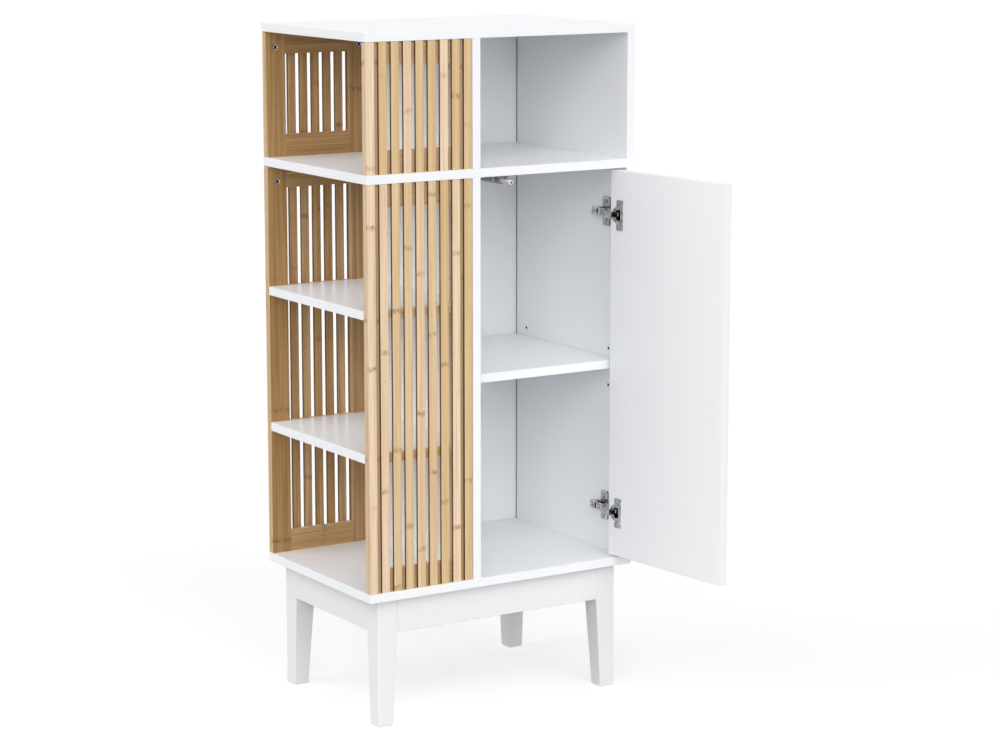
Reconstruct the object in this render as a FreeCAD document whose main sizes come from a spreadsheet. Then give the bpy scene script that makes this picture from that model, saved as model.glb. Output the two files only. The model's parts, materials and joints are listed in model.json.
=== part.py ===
import FreeCAD, Part
import os
import re

# Bathroom cabinet with an open slatted bay on the left, an open niche on the upper right,
# and a cupboard with an inset door below it, all standing on a low frame with tapered legs.
# X runs to the right, Y to the back and Z up. The origin is on the floor, under the middle
# of the carcass. All sizes are in millimetres. The door is stored open, against its stop.

doc = FreeCAD.newDocument("bathroom_cabinet")
sheet = doc.addObject("Spreadsheet::Sheet", "sizes")

values = (
    ("width", 520, "carcass, left to right"),
    ("depth", 355, "carcass, front to back"),
    ("height", 1150, "floor to the top of the cabinet"),
    ("board", 15, "thickness of every white board and of the door"),
    ("niche_tall", 212, "clear height above the middle panel"),
    ("middle_top", "=height - board - niche_tall", "floor to the top of the middle panel"),
    ("bottom_top", 233.5, "floor to the top of the bottom panel"),
    ("lower_tall", "=middle_top - board - bottom_top", "clear height below the middle panel"),
    ("bay_width", 199, "left edge to the near face of the dividers"),
    ("high_shelf_share", 0.69533, "place of the upper bay shelf in that clear height"),
    ("low_shelf_share", 0.3447, "place of the lower bay shelf"),
    ("door_shelf_share", 0.48629, "place of the cupboard shelf"),
    ("bay_shelf_high", "=bottom_top + lower_tall * high_shelf_share", "floor to the upper bay shelf"),
    ("bay_shelf_low", "=bottom_top + lower_tall * low_shelf_share", "floor to the lower bay shelf"),
    ("back_thick", 3, "thin back boards"),
    ("groove_wide", 4.5, "groove that holds a back board"),
    ("groove_deep", 5, "depth of that groove"),
    ("groove_inset", 7.5, "rear face to the groove"),
    ("back_play", 0.5, "room for a back board in its groove"),
    ("shelf_under", "=bottom_top + lower_tall * door_shelf_share", "floor to under the cupboard shelf"),
    ("shelf_setback", 22, "front face to the cupboard shelf"),
    ("shelf_play", 1, "gap around the cupboard shelf"),
    ("pin_radius", 2.5, "shelf pins"),
    ("pin_long", 20, "shelf pins"),
    ("pin_hole_deep", 9, "holes for the shelf pins"),
    ("pin_pitch", 32, "spacing of the shelf-pin holes"),
    ("pin_front", 51, "front face to the front row of pin holes"),
    ("pin_rear", 44, "rear face to the rear row of pin holes"),
    ("panel_end", 0.3, "left edge of the boards to the slatted panels"),
    ("panel_play", 0.8, "slatted panels to the dividers"),
    ("panel_inset", 1, "front edge of the boards to the slats"),
    ("slat_wide", 15.5, "slats"),
    ("slat_thick", 4.5, "slats"),
    ("frame_thick", 9.5, "stiles and rails behind the slats"),
    ("stile_wide", 36.5, "stiles"),
    ("rail_tall", 38, "top and bottom rails"),
    ("cam_radius", 6, "cam locks"),
    ("cam_deep", 8, "cam locks"),
    ("cam_drop", 26.5, "top of a slatted panel to its cam locks"),
    ("cam_slot", 1.5, "width of the cross on a cam lock"),
    ("cam_slot_long", 8, "length of the cross on a cam lock"),
    ("bolt_radius", 2.5, "cam bolts"),
    ("bolt_thread", 7, "cam bolt in the board above"),
    ("small_dowel_radius", 3, "dowels under the slatted panels"),
    ("small_dowel_down", 6, "these dowels in the board below"),
    ("small_dowel_up", 15, "these dowels in the stiles"),
    ("dowel_radius", 4, "carcass and base dowels"),
    ("dowel_short", 9, "dowel in a board's face"),
    ("dowel_deep", 20, "dowel in a board's end"),
    ("dowel_inset", 60, "front or rear face to the carcass dowels"),
    ("fit", 0.05, "radial room around pins, bolts and dowels"),
    ("end_room", 0.5, "room at the end of a blind hole"),
    ("overrun", 2, "how far a cut runs past a face"),
    ("leg_side", 23.5, "side of the carcass to the legs"),
    ("leg_front", 16.7, "front or rear of the carcass to the legs"),
    ("leg_top", 37, "leg above the taper"),
    ("leg_foot", 27.7, "leg at the floor"),
    ("apron_tall", 60, "aprons"),
    ("apron_thick", 16, "aprons"),
    ("apron_dowel_high", 18, "underside of the bottom panel to the upper apron dowels"),
    ("apron_dowel_low", 42, "underside of the bottom panel to the lower apron dowels"),
    ("leg_dowel", 15, "apron dowel in a leg"),
    ("bracket_wide", 40, "angle brackets under the carcass"),
    ("bracket_leg", 26, "length of each leg of a bracket"),
    ("bracket_thick", 2, "sheet of the brackets"),
    ("bracket_out", 110, "middle of the carcass to the brackets"),
    ("screw_radius", 2, "shank of the bracket and plate screws"),
    ("screw_head", 3.6, "head radius of these screws"),
    ("screw_head_tall", 1.5, "head height of these screws"),
    ("screw_in", 9, "length of these screws in a board"),
    ("door_gap", 3.5, "gap above and below the door"),
    ("hinge_gap", 3, "gap on the door's hinge side"),
    ("free_gap", 2, "gap on the door's free side"),
    ("open_angle", 95.5, "door opening in degrees"),
    ("axis_back", 9.6, "hinge edge of the door to its turning axis"),
    ("axis_depth", 8, "inner face of the door to its turning axis"),
    ("hinge_end", 76, "door end to the middle of a hinge"),
    ("cup_radius", 13, "hinge cup"),
    ("cup_wall", 0.8, "wall of the cup"),
    ("cup_floor", 0.7, "floor of the cup"),
    ("cup_deep", 12, "depth of the cup"),
    ("cup_back", 18.7, "hinge edge of the door to the middle of the cup"),
    ("flange_lip", 1, "rim of the cup past its wall"),
    ("flange_thick", 1.2, "flange of the cup"),
    ("flange_half", 26, "half height of the flange"),
    ("flange_near", 16, "hinge edge of the door to the flange wings"),
    ("flange_far", 33, "hinge edge of the door to the far side of the wings"),
    ("cup_screw_back", 22, "hinge edge of the door to the cup screws"),
    ("cup_screw_out", 20.5, "middle of a hinge to its cup screws"),
    ("ear_half", 2.6, "half width of the ears that hold the hinge pin"),
    ("ear_gap", 3.6, "middle of a hinge to an ear"),
    ("ear_long", 5.5, "ear along the pin"),
    ("hinge_pin_radius", 1.2, "hinge pin"),
    ("hinge_pin_half", 6.8, "half length of the hinge pin"),
    ("barrel_radius", 2.1, "eye of the hinge arm"),
    ("barrel_half", 3.2, "half height of that eye"),
    ("hook_thick", 2.5, "hook between the eye and the neck"),
    ("hook_half", 3.2, "half height of the hook"),
    ("neck_thick", 3.5, "hooked neck of the hinge arm"),
    ("neck_half", 5, "half height of the neck"),
    ("neck_side", 14, "turning axis to the middle of the neck"),
    ("neck_long", 22, "turning axis to the rear end of the neck"),
    ("crank_start", 19, "turning axis to the start of the crank"),
    ("crank_long", 24, "slanting part of the hinge arm"),
    ("crank_angle", 45, "slant of that part in degrees"),
    ("arm_start", 33, "turning axis to the straight part of the arm"),
    ("arm_long", 42, "straight part of the arm"),
    ("arm_thick", 11, "straight part of the arm"),
    ("arm_half", 6.5, "half height of the straight part"),
    ("plate_start", 38, "turning axis to the mounting plate"),
    ("plate_long", 36, "mounting plate along the arm"),
    ("plate_thick", 4.6, "mounting plate under the arm"),
    ("plate_half", 6, "half height of the plate under the arm"),
    ("wing_start", 40, "turning axis to the wings of the plate"),
    ("wing_wide", 21, "wings of the plate"),
    ("wing_thick", 2.5, "wings of the plate"),
    ("wing_half", 25, "half height of the wings"),
    ("plate_screw_out", 16, "middle of a hinge to its plate screws"),
    ("arm_screw_near", 47, "turning axis to the first arm screw"),
    ("arm_screw_far", 69, "turning axis to the second arm screw"),
    ("arm_screw_in", 3, "arm screw in the plate"),
    ("latch_side", 52, "divider to the axis of the push latch"),
    ("latch_drop", 10, "underside of the middle panel to that axis"),
    ("latch_front", 19, "front face to the latch body"),
    ("latch_long", 76, "latch body"),
    ("latch_radius", 5.5, "latch body"),
    ("latch_base_wide", 12, "foot of the latch body"),
    ("latch_base_tall", 7, "foot of the latch body"),
    ("latch_bore", 62, "depth of the bore for the plunger"),
    ("ear_side", 13, "latch axis to the screw ears"),
    ("ear_back", 6, "front of the latch body to the screw ears"),
    ("ear_radius", 4, "screw ears"),
    ("ear_tall", 9, "screw ears"),
    ("ear_web", 4, "web between the screw ears"),
    ("plunger_radius", 3.5, "plunger of the latch"),
    ("plunger_reach", 12, "front face to the tip when the door is open"),
    ("plunger_long", 59, "plunger behind its tip"),
    ("tip_radius", 4.3, "tip of the plunger"),
    ("tip_long", 3, "tip of the plunger"),
    ("small_screw_radius", 1.75, "shank of the cup, arm and latch screws"),
    ("small_screw_head", 3.1, "head radius of these screws"),
    ("small_screw_tall", 1.3, "head height of these screws"),
    ("small_screw_in", 8, "length of these screws in a board"),
)
for row, (alias, value, note) in enumerate(values, 1):
    sheet.set("A%d" % row, alias)
    sheet.set("B%d" % row, str(value))
    sheet.setAlias("B%d" % row, alias)
    sheet.set("C%d" % row, note)
doc.recompute()

SIZES = {alias for alias, value, note in values}
SLATS = 9
TURN = {
    "x": FreeCAD.Rotation(FreeCAD.Vector(0, 1, 0), 90),
    "y": FreeCAD.Rotation(FreeCAD.Vector(1, 0, 0), -90),
    "z": FreeCAD.Rotation(),
}
nodes = []
counter = [0]


def bind(obj, prop, text):
    # each word that is a size in the sheet becomes a reference to it
    words = re.sub(r"[a-z_]+", lambda m: "sizes." + m.group(0) if m.group(0) in SIZES else m.group(0), text)
    obj.setExpression(prop, words)


def place(obj, at):
    for axis, text in zip("xyz", at):
        bind(obj, "Placement.Base." + axis, text)


def fresh(kind, stem):
    counter[0] += 1
    return doc.addObject(kind, "%s_%d" % (stem, counter[0]))


def box(size, at, stem="block"):
    obj = fresh("Part::Box", stem)
    for prop, text in zip(("Length", "Width", "Height"), size):
        bind(obj, prop, text)
    place(obj, at)
    return obj


def rod(radius, length, at, along="z", stem="rod"):
    obj = fresh("Part::Cylinder", stem)
    obj.Placement = FreeCAD.Placement(FreeCAD.Vector(), TURN[along])
    bind(obj, "Radius", radius)
    bind(obj, "Height", length)
    place(obj, at)
    return obj


def fuse(parts, stem="joined"):
    if len(parts) == 1:
        return parts[0]
    obj = fresh("Part::MultiFuse", stem)
    obj.Shapes = parts
    return obj


def cut(base, tools, stem="cut"):
    if not tools:
        return base
    obj = fresh("Part::Cut", stem)
    obj.Base = base
    obj.Tool = fuse(tools, "tools")
    return obj


def group(parts, stem="set"):
    obj = fresh("Part::Compound", stem)
    obj.Links = parts
    return obj


def node(obj, label):
    obj.Label = label
    nodes.append(obj)
    return obj


# the planes that the pieces share
LEFT = "(-width / 2)"
FRONT = "(-depth / 2)"
REAR = "(depth / 2)"
DIV_LEFT = "(bay_width - width / 2)"
DIV_RIGHT = "(bay_width + board - width / 2)"
DIV_MIDDLE = "(bay_width + board / 2 - width / 2)"
SIDE_IN = "(width / 2 - board)"
TOP_UNDER = "(height - board)"
MID_UNDER = "(middle_top - board)"
BOT_UNDER = "(bottom_top - board)"
GROOVE_FRONT = "(depth / 2 - groove_inset - groove_wide)"
DOOR_TALL = "(lower_tall - 2 * door_gap)"
AXIS_X = "(width / 2 - board - hinge_gap - axis_back)"
AXIS_Y = "(board - axis_depth - depth / 2)"
HINGES = {
    "lower": "(bottom_top + door_gap + hinge_end)",
    "upper": "(middle_top - board - door_gap - hinge_end)",
}

# cuts for the boards are collected here by board, then made all at once
cuts = {}


def drill(board, radius, length, at, along="z"):
    cuts.setdefault(board, []).append(rod(radius, length, at, along, "hole"))


def notch(board, size, at):
    cuts.setdefault(board, []).append(box(size, at, "notch"))


# carcass dowels: each entry gives a direction, the piece and length before the joint,
# the piece and length after it, and the point of the joint without its Y
dowel_joints = (
    ("z", "right_side_panel", "dowel_deep", "top_panel", "dowel_short", SIDE_IN + " + board / 2", TOP_UNDER),
    ("z", "upper_divider", "dowel_deep", "top_panel", "dowel_short", DIV_MIDDLE, TOP_UNDER),
    ("z", "bottom_panel", "dowel_short", "lower_divider", "dowel_deep", DIV_MIDDLE, "bottom_top"),
    ("x", "middle_panel", "dowel_deep", "right_side_panel", "dowel_short", SIDE_IN, "middle_top - board / 2"),
    ("x", "bottom_panel", "dowel_deep", "right_side_panel", "dowel_short", SIDE_IN, "bottom_top - board / 2"),
    ("x", "bay_shelf_upper", "dowel_deep", "lower_divider", "dowel_short", DIV_LEFT,
     "bay_shelf_high - board / 2"),
    ("x", "bay_shelf_lower", "dowel_deep", "lower_divider", "dowel_short", DIV_LEFT,
     "bay_shelf_low - board / 2"),
)
DOWEL_ROWS = (FRONT + " + dowel_inset", REAR + " - dowel_inset")
carcass_dowels = []
for along, before, back_len, after, on_len, x, z in dowel_joints:
    for y in DOWEL_ROWS:
        start = [x, y, z]
        hole = [x, y, z]
        spot = "xyz".index(along)
        start[spot] += " - " + back_len
        hole[spot] += " - " + back_len + " - end_room"
        carcass_dowels.append(rod("dowel_radius", back_len + " + " + on_len, start, along, "dowel"))
        for piece in (before, after):
            drill(piece, "dowel_radius + fit", back_len + " + " + on_len + " + 2 * end_room", hole, along)
# one longer dowel runs through the middle panel into both dividers
for y in DOWEL_ROWS:
    at = (DIV_MIDDLE, y, MID_UNDER + " - dowel_deep")
    carcass_dowels.append(rod("dowel_radius", "2 * dowel_deep + board", at, "z", "dowel"))
    low = (at[0], at[1], at[2] + " - end_room")
    for piece in ("lower_divider", "middle_panel", "upper_divider"):
        drill(piece, "dowel_radius + fit", "2 * dowel_deep + board + 2 * end_room", low)

# grooves for the two back boards
GROOVE_X = DIV_RIGHT + " - groove_deep"
GROOVE_LONG = SIDE_IN + " - " + DIV_RIGHT + " + 2 * groove_deep"
for piece, z in (
    ("top_panel", TOP_UNDER),
    ("middle_panel", "middle_top - groove_deep"),
    ("middle_panel", MID_UNDER),
    ("bottom_panel", "bottom_top - groove_deep"),
):
    notch(piece, (GROOVE_LONG, "groove_wide", "groove_deep"), (GROOVE_X, GROOVE_FRONT, z))
for piece, z, tall in (
    ("upper_divider", "middle_top - overrun", TOP_UNDER + " - middle_top + 2 * overrun"),
    ("lower_divider", "bottom_top - overrun", MID_UNDER + " - bottom_top + 2 * overrun"),
):
    notch(piece, ("groove_deep", "groove_wide", tall), (DIV_RIGHT + " - groove_deep", GROOVE_FRONT, z))
notch(
    "right_side_panel",
    ("groove_deep", "groove_wide", "height - bottom_top + groove_deep"),
    (SIDE_IN, GROOVE_FRONT, "bottom_top - groove_deep"),
)

# shelf pins, with a spare hole above and below each
shelf_pins = []
PIN_Z = "(shelf_under - pin_radius)"
for y in (FRONT + " + pin_front", REAR + " - pin_rear"):
    for piece, face, inward in (
        ("lower_divider", DIV_RIGHT, -1),
        ("right_side_panel", SIDE_IN, 1),
    ):
        hole_x = face + (" - pin_hole_deep" if inward < 0 else " - overrun")
        for step in (-1, 0, 1):
            z = PIN_Z + " + %d * pin_pitch" % step
            drill(piece, "pin_radius + fit", "pin_hole_deep + overrun", (hole_x, y, z), "x")
        pin_x = face + (" - pin_hole_deep" if inward < 0 else " + pin_hole_deep - pin_long")
        shelf_pins.append(rod("pin_radius", "pin_long", (pin_x, y, PIN_Z), "x", "pin"))

# slatted panels: slats on the outside, stiles and rails on the inside
PANEL_X = "(panel_end - width / 2)"
PANEL_WIDE = "(bay_width - panel_end - panel_play)"
SLAT_STEP = "(" + PANEL_WIDE + " - slat_wide) / %d" % (SLATS - 1)
RAIL_X = "(panel_end + stile_wide - width / 2)"
RAIL_LONG = PANEL_WIDE + " - 2 * stile_wide"
STILES_X = (PANEL_X, DIV_LEFT + " - panel_play - stile_wide")
cam_locks = []
cam_bolts = []
small_dowels = []


def slatted_panel(side, level, low, high, above, below, middles):
    name = side + "_" + level
    if side == "front":
        slat_y = FRONT + " + panel_inset"
        frame_y = FRONT + " + panel_inset + slat_thick"
        inner = frame_y + " + frame_thick"
        cam_y = inner + " - cam_deep"
        slot_y = inner + " - cam_slot"
    else:
        slat_y = REAR + " - panel_inset - slat_thick"
        frame_y = REAR + " - panel_inset - slat_thick - frame_thick"
        cam_y = frame_y
        slot_y = frame_y
    tall = high + " - " + low
    slats = []
    for i in range(SLATS):
        at = (PANEL_X + " + %d * " % i + SLAT_STEP, slat_y, low)
        slats.append(box(("slat_wide", "slat_thick", tall), at, "slat"))
    node(group(slats), name + "_slats")
    rails = [(low, "rail_tall"), (high + " - rail_tall", "rail_tall")]
    rails += [(top + " - board", "board") for top in middles]
    bars = [box((RAIL_LONG, "frame_thick", h), (RAIL_X, frame_y, z), "rail") for z, h in rails]
    node(group(bars), name + "_rails")
    stiles = []
    middle_y = frame_y + " + frame_thick / 2"
    for x in STILES_X:
        centre = x + " + stile_wide / 2"
        cam_z = high + " - cam_drop"
        bolt_z = cam_z + " + cam_radius + end_room"
        bolt_long = "cam_drop - cam_radius - end_room + bolt_thread"
        dowel_long = "small_dowel_down + small_dowel_up"
        dowel_at = (centre, middle_y, low + " - small_dowel_down")
        disc = rod("cam_radius", "cam_deep", (centre, cam_y, cam_z), "y", "cam")
        cross = [
            box(("cam_slot", "cam_slot", "cam_slot_long"),
                (centre + " - cam_slot / 2", slot_y, cam_z + " - cam_slot_long / 2"), "slot"),
            box(("cam_slot_long", "cam_slot", "cam_slot"),
                (centre + " - cam_slot_long / 2", slot_y, cam_z + " - cam_slot / 2"), "slot"),
        ]
        cam_locks.append(cut(disc, cross, "cam_lock"))
        cam_bolts.append(rod("bolt_radius", bolt_long, (centre, middle_y, bolt_z), "z", "bolt"))
        small_dowels.append(rod("small_dowel_radius", dowel_long, dowel_at, "z", "dowel"))
        hole_y = cam_y if side == "front" else frame_y + " - overrun"
        holes = [
            rod("cam_radius + fit", "cam_deep + overrun", (centre, hole_y, cam_z), "y", "hole"),
            rod("bolt_radius + fit", "cam_drop + overrun", (centre, middle_y, cam_z), "z", "hole"),
            rod("small_dowel_radius + fit", dowel_long + " + end_room", dowel_at, "z", "hole"),
        ]
        stiles.append(cut(box(("stile_wide", "frame_thick", tall), (x, frame_y, low), "stile"), holes))
        drill(above, "bolt_radius + fit", "bolt_thread + end_room + overrun",
              (centre, middle_y, high + " - overrun"))
        drill(below, "small_dowel_radius + fit", "small_dowel_down + end_room + overrun",
              (centre, middle_y, low + " - small_dowel_down - end_room"))
    node(group(stiles), name + "_stiles")


for side in ("front", "back"):
    slatted_panel(side, "upper", "middle_top", TOP_UNDER, "top_panel", "middle_panel", ())
    slatted_panel(side, "lower", "bottom_top", MID_UNDER, "middle_panel", "bottom_panel",
                  ("bay_shelf_high", "bay_shelf_low"))
node(group(cam_locks), "cam_locks")
node(group(cam_bolts), "cam_bolts")
node(group(small_dowels), "panel_dowels")

# base: tapered legs, aprons flush with their outer faces, dowels and brackets
apron_dowels = []
APRON_Z = BOT_UNDER + " - apron_tall"
APRON_X = "width / 2 - leg_side - leg_top"
APRON_Y = "depth / 2 - leg_front - leg_top"
DOWEL_HEIGHTS = (BOT_UNDER + " - apron_dowel_high", BOT_UNDER + " - apron_dowel_low")
aprons = {
    "apron_front": (("2 * (" + APRON_X + ")", "apron_thick", "apron_tall"),
                    ("-(" + APRON_X + ")", FRONT + " + leg_front", APRON_Z)),
    "apron_back": (("2 * (" + APRON_X + ")", "apron_thick", "apron_tall"),
                   ("-(" + APRON_X + ")", REAR + " - leg_front - apron_thick", APRON_Z)),
    "apron_left": (("apron_thick", "2 * (" + APRON_Y + ")", "apron_tall"),
                   (LEFT + " + leg_side", "-(" + APRON_Y + ")", APRON_Z)),
    "apron_right": (("apron_thick", "2 * (" + APRON_Y + ")", "apron_tall"),
                    ("width / 2 - leg_side - apron_thick", "-(" + APRON_Y + ")", APRON_Z)),
}


def signed(sign, text):
    return text if sign > 0 else "-(" + text + ")"


legs = {
    "leg_front_left": (-1, -1, "apron_front", "apron_left"),
    "leg_front_right": (1, -1, "apron_front", "apron_right"),
    "leg_back_left": (-1, 1, "apron_back", "apron_left"),
    "leg_back_right": (1, 1, "apron_back", "apron_right"),
}
DOWEL_ALL = "leg_dowel + dowel_deep"
HOLE_ALL = DOWEL_ALL + " + 2 * end_room"
for leg, (sx, sy, along_x, along_y) in legs.items():
    for z in DOWEL_HEIGHTS:
        # a dowel between this leg and the apron that runs along X, and one for the apron along Y
        near = APRON_X + (" - dowel_deep" if sx > 0 else " + leg_dowel")
        side_y = signed(sy, "depth / 2 - leg_front - apron_thick / 2")
        at = (signed(sx, near), side_y, z)
        apron_dowels.append(rod("dowel_radius", DOWEL_ALL, at, "x", "dowel"))
        for piece in (leg, along_x):
            drill(piece, "dowel_radius + fit", HOLE_ALL, (at[0] + " - end_room", at[1], z), "x")
        near = APRON_Y + (" - dowel_deep" if sy > 0 else " + leg_dowel")
        side_x = signed(sx, "width / 2 - leg_side - apron_thick / 2")
        at = (side_x, signed(sy, near), z)
        apron_dowels.append(rod("dowel_radius", DOWEL_ALL, at, "y", "dowel"))
        for piece in (leg, along_y):
            drill(piece, "dowel_radius + fit", HOLE_ALL, (at[0], at[1] + " - end_room", z), "y")

brackets = []
bracket_screws = []
for sx in (-1, 1):
    for sy, apron in ((-1, "apron_front"), (1, "apron_back")):
        x = signed(sx, "bracket_out")
        face = signed(sy, "depth / 2 - leg_front - apron_thick")
        to_front = " - bracket_thick" if sy > 0 else ""
        to_rear = " - bracket_leg" if sy > 0 else ""
        left = x + " - bracket_wide / 2"
        upright = box(("bracket_wide", "bracket_thick", "bracket_leg"),
                      (left, face + to_front, BOT_UNDER + " - bracket_leg"), "upright")
        flat = box(("bracket_wide", "bracket_leg", "bracket_thick"),
                   (left, face + to_rear, BOT_UNDER + " - bracket_thick"), "flat")
        hole_y = face + (" - bracket_leg / 2" if sy > 0 else " + bracket_leg / 2")
        hole_z = BOT_UNDER + " - bracket_leg / 2"
        start_y = face + (" - bracket_thick" if sy > 0 else " - screw_in")
        head_y = face + (" - bracket_thick - screw_head_tall" if sy > 0 else " + bracket_thick")
        up_at = (x, hole_y, BOT_UNDER + " - bracket_thick")
        side_at = (x, start_y, hole_z)
        shank = "screw_in + bracket_thick"
        holes = []
        for at, way in ((up_at, "z"), (side_at, "y")):
            holes.append(rod("screw_radius + fit", shank + " + end_room", at, way, "hole"))
        brackets.append(cut(fuse([upright, flat]), holes))
        drill("bottom_panel", "screw_radius + fit", shank + " + end_room", up_at)
        side_hole = (x, start_y + (" - overrun" if sy > 0 else " - end_room"), hole_z)
        drill(apron, "screw_radius + fit", shank + " + end_room + " + ("overrun" if sy > 0 else "end_room"),
              side_hole, "y")
        head_at = (x, hole_y, BOT_UNDER + " - bracket_thick - screw_head_tall")
        bracket_screws.append(fuse([
            rod("screw_radius", shank, up_at, "z", "shank"),
            rod("screw_head", "screw_head_tall", head_at, "z", "head"),
        ]))
        bracket_screws.append(fuse([
            rod("screw_radius", shank, side_at, "y", "shank"),
            rod("screw_head", "screw_head_tall", (x, head_y, hole_z), "y", "head"),
        ]))

# push latch under the middle panel: body with two screw ears, sliding plunger, tip and screws
LATCH_X = DIV_RIGHT + " + latch_side"
LATCH_Y = FRONT + " + latch_front"
LATCH_Z = MID_UNDER + " - latch_drop"
latch_parts = [
    rod("latch_radius", "latch_long", (LATCH_X, LATCH_Y, LATCH_Z), "y", "barrel"),
    box(("latch_base_wide", "latch_long", "latch_base_tall"),
        (LATCH_X + " - latch_base_wide / 2", LATCH_Y, MID_UNDER + " - latch_base_tall"), "foot"),
    box(("2 * ear_side", "ear_radius", "ear_web"),
        (LATCH_X + " - ear_side", LATCH_Y + " + ear_back - ear_radius / 2", MID_UNDER + " - ear_web"), "web"),
]
latch_holes = [
    rod("plunger_radius + fit", "latch_bore + overrun", (LATCH_X, LATCH_Y + " - overrun", LATCH_Z),
        "y", "bore"),
]
latch_screws = []
for sx in (" - ear_side", " + ear_side"):
    ear_at = (LATCH_X + sx, LATCH_Y + " + ear_back", MID_UNDER + " - ear_tall")
    shank = "ear_tall + small_screw_in"
    head_at = (ear_at[0], ear_at[1], ear_at[2] + " - small_screw_tall")
    latch_parts.append(rod("ear_radius", "ear_tall", ear_at, "z", "ear"))
    latch_holes.append(rod("small_screw_radius + fit", "ear_tall + overrun", ear_at, "z", "hole"))
    drill("middle_panel", "small_screw_radius + fit", shank + " + end_room", ear_at)
    latch_screws.append(fuse([
        rod("small_screw_radius", shank, ear_at, "z", "shank"),
        rod("small_screw_head", "small_screw_tall", head_at, "z", "head"),
    ]))
node(cut(fuse(latch_parts), latch_holes), "latch_body")
TIP_Y = FRONT + " - plunger_reach"
node(rod("plunger_radius", "plunger_long", (LATCH_X, TIP_Y + " + tip_long", LATCH_Z), "y", "plunger"),
     "latch_plunger")
node(rod("tip_radius", "tip_long", (LATCH_X, TIP_Y, LATCH_Z), "y", "tip"), "latch_tip")
node(group(latch_screws), "latch_screws")

# hinges: arm and plate stay with the side panel, cup and pin turn with the door
WALL = "(hinge_gap + axis_back)"
ARM_FACE = WALL + " - plate_thick - arm_thick"
CUP_X = "(axis_back - cup_back)"
CUP_Y = "(axis_depth - cup_deep)"
CUP_ALL = "cup_deep + flange_thick"


def on_axis(obj, turned):
    # pieces of a hinge are built around the turning axis, then set on it
    place(obj, (AXIS_X, AXIS_Y, "0"))
    if turned:
        bind(obj, "Placement.Rotation.Angle", "open_angle * 1deg")
    return obj


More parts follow.
